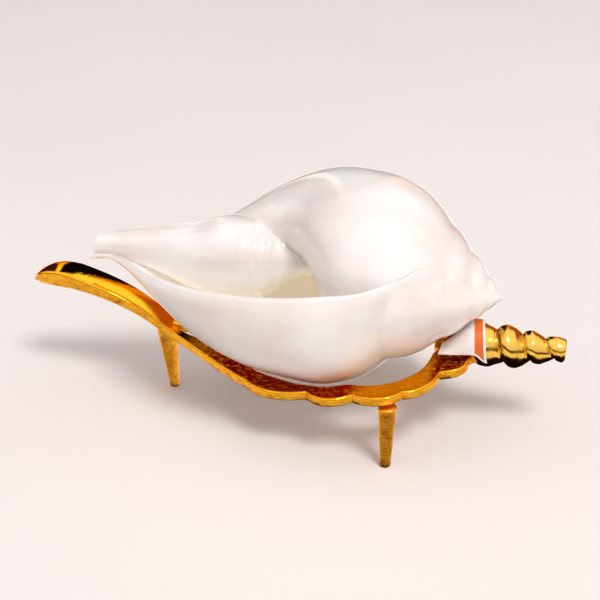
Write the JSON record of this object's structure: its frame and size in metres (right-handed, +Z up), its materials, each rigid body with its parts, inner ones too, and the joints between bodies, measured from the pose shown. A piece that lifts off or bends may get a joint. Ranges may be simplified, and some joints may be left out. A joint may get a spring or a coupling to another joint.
{
  "type": "conch shell",
  "caption": "Polished white conch shell lying mouth up in a gilt cast cradle shaped like a conch, with an open ring, a curled lip, a beaded spire and tapered legs.",
  "frame": {"origin": "on the surface the feet stand on, midway along and across the whole object", "axes": "+X from the cradle's curled lip to the tip of its spire, which is also from the shell's canal to its apex; +Y away from the side that the shell's outer lip is on; +Z up"},
  "size_m": [0.1768, 0.0736, 0.0809],
  "materials": {
    "polished_shell": "polished, white with a cream inside",
    "gilt_casting": "gold-plated casting, polished lip and spire, grained ring",
    "gilt_rod": "gold-plated, satin",
    "coated_paper": "coated white paper with a plain orange band"
  },
  "bodies": {
    "root": {"shell": "polished_shell", "tray": "gilt_casting", "leg_left": "gilt_rod", "leg_near": "gilt_rod", "leg_far": "gilt_rod", "label": "coated_paper"}
  },
  "joints": []
}
